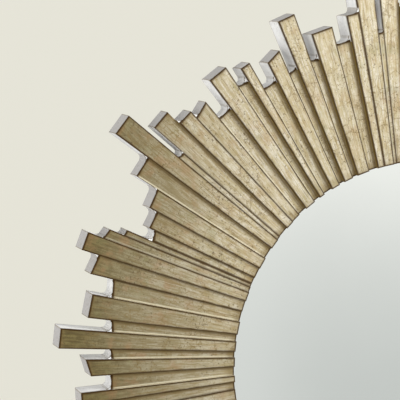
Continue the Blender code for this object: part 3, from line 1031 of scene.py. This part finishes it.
    def write_places(self, mesh: Mesh) -> None:
        """Give every corner of the mesh its place on its own ray, and every face its material.

        Args:
            mesh: The frame's finished mesh.
        """
        places = (Layer.EDGES, Layer.RUN, Layer.SIDE)
        flags = (Layer.MARKS, Layer.KINDS, Layer.FREE)
        for layer in places:
            mesh.uv_layers.new(name=layer.value)
        for layer in flags:
            mesh.color_attributes.new(name=layer.value, type="FLOAT_COLOR", domain="CORNER")
        edges, run, side = [mesh.uv_layers[layer.value].data for layer in places]
        marks, kinds, free = [mesh.color_attributes[layer.value].data for layer in flags]
        for polygon in mesh.polygons:
            surface = self.surface_of(polygon)
            centre = polygon.center
            inside = centre if surface is Surface.FRONT else centre - self.wall_probe * polygon.normal
            index = self.ray_index(inside.x, inside.z)
            ray = self.rays[index]
            before = self.rays[index - 1]
            after = self.rays[(index + 1) % len(self.rays)]
            on_first = ray.from_first(centre.x, centre.z) < ray.from_second(centre.x, centre.z)
            limit = before.cut_to.length if on_first else after.cut_from.length
            first_free = float(before.cut_to.length < ray.cut_from.length - self.free_limit)
            second_free = float(after.cut_from.length < ray.cut_to.length - self.free_limit)
            is_side, is_outer, is_rim = surface.value
            is_outer *= min(self.outward_part(polygon) / self.fully_out, 1.0)
            for loop in polygon.loop_indices:
                co = mesh.vertices[mesh.loops[loop].vertex_index].co
                scale = 1.0 + self.tuck(co)
                x, z = co.x * scale, co.z * scale
                edges[loop].uv = (ray.from_first(x, z), ray.from_second(x, z))
                run[loop].uv = (ray.along(x, z) - self.rim_radius, ray.from_cut(x, z))
                side[loop].uv = (ray.height + co.y, math.hypot(x, z) - limit)
                marks[loop].color = (ray.tone, self.step_share(ray, before), self.step_share(ray, after), 1.0)
                kinds[loop].color = (is_side, is_outer, is_rim, 1.0)
                free[loop].color = (first_free, second_free, 0.0, 1.0)
            back = polygon.normal.y > self.facing_back or self.in_rebate(polygon)
            polygon.material_index = 1 if back else 0

    def in_rebate(self, polygon: Face) -> bool:
        """Say whether a face is the wall of the rebate behind the rim."""
        return self.faces_axis(polygon, self.rebate_zone) and polygon.center.y > -self.rebate_depth

    def looks_forward(self, edge: Edge) -> bool:
        """Say whether a face beside an edge looks straight forward."""
        return any(face.normal.y < self.facing_front for face in edge.link_faces)

    def step_at(self, edge: Edge) -> float:
        """Return the height of the step whose foot an edge is, or nothing."""
        if not self.looks_forward(edge) or edge.calc_face_angle_signed(0.0) > -self.sharp_turn:
            return 0.0
        middle = 0.5 * (edge.verts[0].co + edge.verts[1].co)
        across = Vector((-middle.z, 0.0, middle.x)).normalized() * self.step_probe
        sides = [self.rays[self.ray_index(p.x, p.z)] for p in (middle + across, middle - across)]
        return abs(sides[0].height - sides[1].height)

    def on_arris(self, edge: Edge) -> bool:
        """Say whether an edge is one of the front outline's arrises."""
        forward = all(v.co.y < self.front_limit for v in edge.verts)
        return self.looks_forward(edge) and forward and edge.calc_face_angle_signed(0.0) > self.sharp_turn

    def cut_coves(self, piece: Piece) -> int:
        """Cut a cove at the foot of every step, as wide as the step's height allows.

        Args:
            piece: The frame.

        Returns:
            The number of coves.
        """
        coves = 0
        heights = sorted({round(abs(a.height - b.height), 4) for a, b in zip(self.rays, self.rays[1:])})
        for height in heights:
            if height > 0.0:
                width = min(self.cove_share * height, self.cove_limit)

                def this_step(edge: Edge, wanted: float = height) -> bool:
                    """Say whether an edge is the foot of a step of this height."""
                    return abs(self.step_at(edge) - wanted) < self.step_slack

                coves += bevel_edges(piece, this_step, width, self.cove_steps)
        return coves

    def build(self, leaf: Material, back: Material) -> Piece:
        """Build the frame.

        Args:
            leaf: The gilded finish.
            back: The finish of the back and the rebate.

        Returns:
            The finished piece.
        """
        piece = merged_copy(self.node, "gilded_frame")
        joints = self.joint_angles(piece.data)
        self.join_flats(piece, joints)
        self.measure_rays(piece.data, joints)
        LOG.info("frame: %d joints, rim radius %.4f", len(joints), self.rim_radius)
        coves = self.cut_coves(piece)
        merge_close(piece, self.merge_limit)
        arrises = bevel_edges(piece, self.on_arris, self.arris, self.arris_steps, clamp=False)
        self.round_back(piece)
        LOG.info("frame: %d coves, %d arrises", coves, arrises)
        self.write_places(piece.data)
        return hand_in(piece, (leaf, back), "gilded_frame", self.node)


@dataclass
class MirrorGlass:
    """The round mirror glass behind the frame's lip."""

    node: str = "mirror_glass"
    ground_edge: float = 0.0008

    def build(self, finish: Material) -> Piece:
        """Build the glass with its ground edges, in its silvered finish."""
        piece = merged_copy(self.node, "silvered_disc", join_flats=True)
        bevel_edges(piece, is_sharp, self.ground_edge, 2)
        soften(piece)
        return hand_in(piece, (finish,), "mirror_glass", self.node)


@dataclass
class BackingBoard:
    """The fibre board that closes the back."""

    node: str = "backing_board"
    sawn_edge: float = 0.0004
    outline_radius: float = 0.27

    def on_outline(self, edge: Edge) -> bool:
        """Say whether an edge is on the board's round outline."""
        return all(math.hypot(v.co.x, v.co.z) > self.outline_radius for v in edge.verts) and is_sharp(edge)

    def build(self, finish: Material) -> Piece:
        """Build the board with softened edges, in its own finish."""
        piece = merged_copy(self.node, "fibre_board", join_flats=True)
        bevel_edges(piece, self.on_outline, self.sawn_edge, 2)
        soften(piece)
        return hand_in(piece, (finish,), "backing_board", self.node)


@dataclass
class HangerSet:
    """The two keyhole plates and their four screws."""

    rolled_edge: float = 0.0002
    slot_width: float = 0.0008
    slot_length: float = 0.0034
    slot_depth: float = 0.0005
    screw_angle: float = 35.0

    def build_plate(self, side: str, finish: Material) -> Piece:
        """Build the plate of one side with rolled edges."""
        node = "hanger_plate_" + side
        piece = merged_copy(node, "keyhole_plate_" + side, join_flats=True)
        bevel_edges(piece, is_sharp, self.rolled_edge, 1)
        soften(piece)
        return hand_in(piece, (finish,), "hanger_steel", node)

    def build_screw(self, place: str, finish: Material) -> Piece:
        """Build one screw with a cross cut in its head.

        Args:
            place: The screw's side and its place on the plate.
            finish: The screw's finish.

        Returns:
            The finished piece.
        """
        node = "hanger_screw_" + place
        low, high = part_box(node)
        piece = merged_copy(node, "plate_screw_" + place)
        centre = (0.5 * (low.x + high.x), high.y, 0.5 * (low.z + high.z))
        for width, length in ((self.slot_length, self.slot_width), (self.slot_width, self.slot_length)):
            deselect_all()
            bpy.ops.mesh.primitive_cube_add(size=1.0, location=centre)
            blade = bpy.context.object
            blade.scale = (width, 2.0 * self.slot_depth, length)
            bpy.ops.object.transform_apply(location=False, rotation=False, scale=True)
            apply_modifier(piece, "BOOLEAN", operation="DIFFERENCE", solver="EXACT", object=blade)
            bpy.data.objects.remove(blade)
        soften(piece, self.screw_angle)
        return hand_in(piece, (finish,), "hanger_steel", node)

    def build(self, finish: Material) -> None:
        """Build both plates and all four screws in one finish."""
        for side in ("left", "right"):
            self.build_plate(side, finish)
            for place in ("inner", "outer"):
                self.build_screw(side + "_" + place, finish)


@dataclass(frozen=True)
class StageFinish(Finish):
    """The plain pale finish of the wall and floor, which glows a little and is seen only from its front."""

    name: str = "pale_stage"
    wall: Colour = shade(229, 227, 214)
    wall_shade: Colour = shade(214, 212, 200)
    matt: Colour = (0.04, 0.04, 0.037, 1.0)
    glow: float = 0.915

    def looks(self, graph: Graph) -> dict:
        """Return the values of the shader's inputs by name, and make the back clear.

        Args:
            graph: The material's graph.

        Returns:
            The glow, colour and roughness.
        """
        clear = graph.node("ShaderNodeBsdfTransparent")
        back = graph.node("ShaderNodeNewGeometry").outputs["Backfacing"]
        front = graph.tree.nodes["Principled BSDF"]
        mix = graph.node("ShaderNodeMixShader", {0: back, 1: front.outputs[0], 2: clear.outputs[0]})
        output = next(n for n in graph.tree.nodes if n.type == "OUTPUT_MATERIAL")
        graph.put(output.inputs["Surface"], mix.outputs[0])
        mottled = graph.noise(graph.place, 0.8, 2.0)
        return {
            "Emission Color": graph.paint(self.wall, self.wall_shade, mottled, 0.04),
            "Emission Strength": self.glow,
            "Base Color": self.matt,
            "Roughness": 0.9,
        }


@dataclass(frozen=True)
class SoftLight:
    """A round soft light, its aim, and whether the mirror shows it."""

    name: str
    place: Triple
    target: Triple
    size: float
    power: float
    mirrored: bool


@dataclass
class Studio:
    """The plain pale wall and floor, the soft light and the camera."""

    wall_distance: float = 1.0
    floor_level: float = -1.3
    stage_size: float = 12.0
    sky_behind: Colour = (0.74, 0.745, 0.74, 1.0)
    sky_before: Colour = (0.86, 0.865, 0.86, 1.0)
    sky_heart: Triple = (-0.60, -0.78, 0.18)
    sky_spread: tuple[float, float] = (-0.1, 0.9)
    card_top: Colour = (1.050, 1.040, 1.005, 1.0)
    card_foot: Colour = (0.645, 0.660, 0.643, 1.0)
    card_side: Colour = (0.790, 0.800, 0.780, 1.0)
    card_place: Triple = (0.385, -0.905, -0.18)
    card_edge: tuple[float, float] = (0.90, 0.965)
    card_rise: tuple[float, float] = (-0.25, -0.10)
    card_curve: float = 2.0
    side_edge: tuple[float, float] = (0.34, 0.40)
    side_share: float = 0.7
    daylight: float = 1.0
    camera_place: Triple = (-1.1707, -2.3903, 0.5605)
    camera_look: Triple = (0.33517, 0.93328, -0.12903)
    camera_lens: float = 169.4
    camera_sensor: float = 36.0
    lights: tuple[SoftLight, ...] = (
        SoftLight("key_light", (1.1, -1.30, 1.20), (-0.1, 0.0, 0.2), 0.9, 31.0, True),
        SoftLight("fill_light", (-2.4, -0.50, 0.1), (0.0, 0.0, 0.0), 1.6, 10.0, True),
        SoftLight("wash_light", (-2.3, -2.6, 0.5), (0.0, 0.0, 0.0), 3.0, 57.0, False),
    )

    def build_stage(self) -> None:
        """Build the wall behind the mirror and the floor below it."""
        finish = StageFinish().build()
        places = (
            ("studio_wall", (0.0, self.wall_distance, 0.0), (0.5 * math.pi, 0.0, 0.0)),
            ("studio_floor", (0.0, 0.0, self.floor_level), (0.0, 0.0, 0.0)),
        )
        for name, location, rotation in places:
            deselect_all()
            bpy.ops.mesh.primitive_plane_add(size=self.stage_size, location=location, rotation=rotation)
            sheet = bpy.context.object
            sheet.name = name
            sheet.data.materials.append(finish)
            sheet.visible_shadow = False
            sheet.visible_diffuse = False
            sheet.visible_glossy = False

    def build_lights(self) -> None:
        """Add the soft lights."""
        for light in self.lights:
            lamp = bpy.data.lights.new(light.name, "AREA")
            lamp.shape = "DISK"
            lamp.size = light.size
            lamp.energy = light.power
            holder = bpy.data.objects.new(light.name, lamp)
            bpy.context.scene.collection.objects.link(holder)
            holder.location = light.place
            holder.visible_glossy = light.mirrored
            aim = Vector(light.target) - Vector(light.place)
            holder.rotation_euler = aim.to_track_quat("-Z", "Y").to_euler()

    def build_daylight(self) -> None:
        """Add the pale daylight all round, with the bright zone that the glass shows."""
        world = bpy.data.worlds.new("pale_daylight")
        world.use_nodes = True
        background = world.node_tree.nodes["Background"]
        sky = Graph(world.node_tree)
        toward = sky.node("ShaderNodeTexCoord").outputs["Generated"]
        across, _, up = sky.axes(toward)
        entries = {"Value": up, "From Min": self.card_rise[0], "From Max": self.card_rise[1]}
        rise = sky.math("POWER", sky.node("ShaderNodeMapRange", entries).outputs[0], self.card_curve)
        card = sky.paint(self.card_foot, self.card_top, rise)
        side = sky.paint(self.card_side, self.card_top, rise)
        card = sky.paint(card, side, sky.fade(across, *self.side_edge, 1.0, 0.0), self.side_share)
        heart = sky.vector_math("DOT_PRODUCT", {0: toward, 1: self.sky_heart}, "Value")
        around = sky.paint(self.sky_behind, self.sky_before, sky.fade(heart, *self.sky_spread))
        facing = sky.vector_math("DOT_PRODUCT", {0: toward, 1: self.card_place}, "Value")
        looks = {
            "Color": sky.paint(around, card, sky.fade(facing, *self.card_edge)),
            "Strength": self.daylight,
        }
        sky.fill(background, looks)
        bpy.context.scene.world = world
        bpy.context.scene.view_settings.view_transform = "Standard"

    def build_camera(self) -> None:
        """Set the camera at the photograph's viewing angle."""
        data = bpy.data.cameras.new("photo_camera")
        data.lens = self.camera_lens
        data.sensor_width = self.camera_sensor
        camera = bpy.data.objects.new("photo_camera", data)
        bpy.context.scene.collection.objects.link(camera)
        camera.location = self.camera_place
        camera.rotation_euler = Vector(self.camera_look).to_track_quat("-Z", "Y").to_euler()
        bpy.context.scene.camera = camera

    def build(self) -> None:
        """Build the whole studio."""
        self.build_stage()
        self.build_lights()
        self.build_daylight()
        self.build_camera()


def main() -> None:
    """Build the mirror's pieces in order, then the studio."""
    logging.basicConfig(level=logging.INFO, format="%(name)s: %(message)s")
    effects = Effects()
    leaf = GildedFinish().build(effects)
    back = CastBackFinish().build(effects)
    SunburstFrame().build(leaf, back)
    MirrorGlass().build(SilveredFinish().build(effects))
    BackingBoard().build(HardboardFinish().build(effects))
    HangerSet().build(ZincFinish().build(effects))
    Studio().build()


if __name__ == "__main__":
    main()
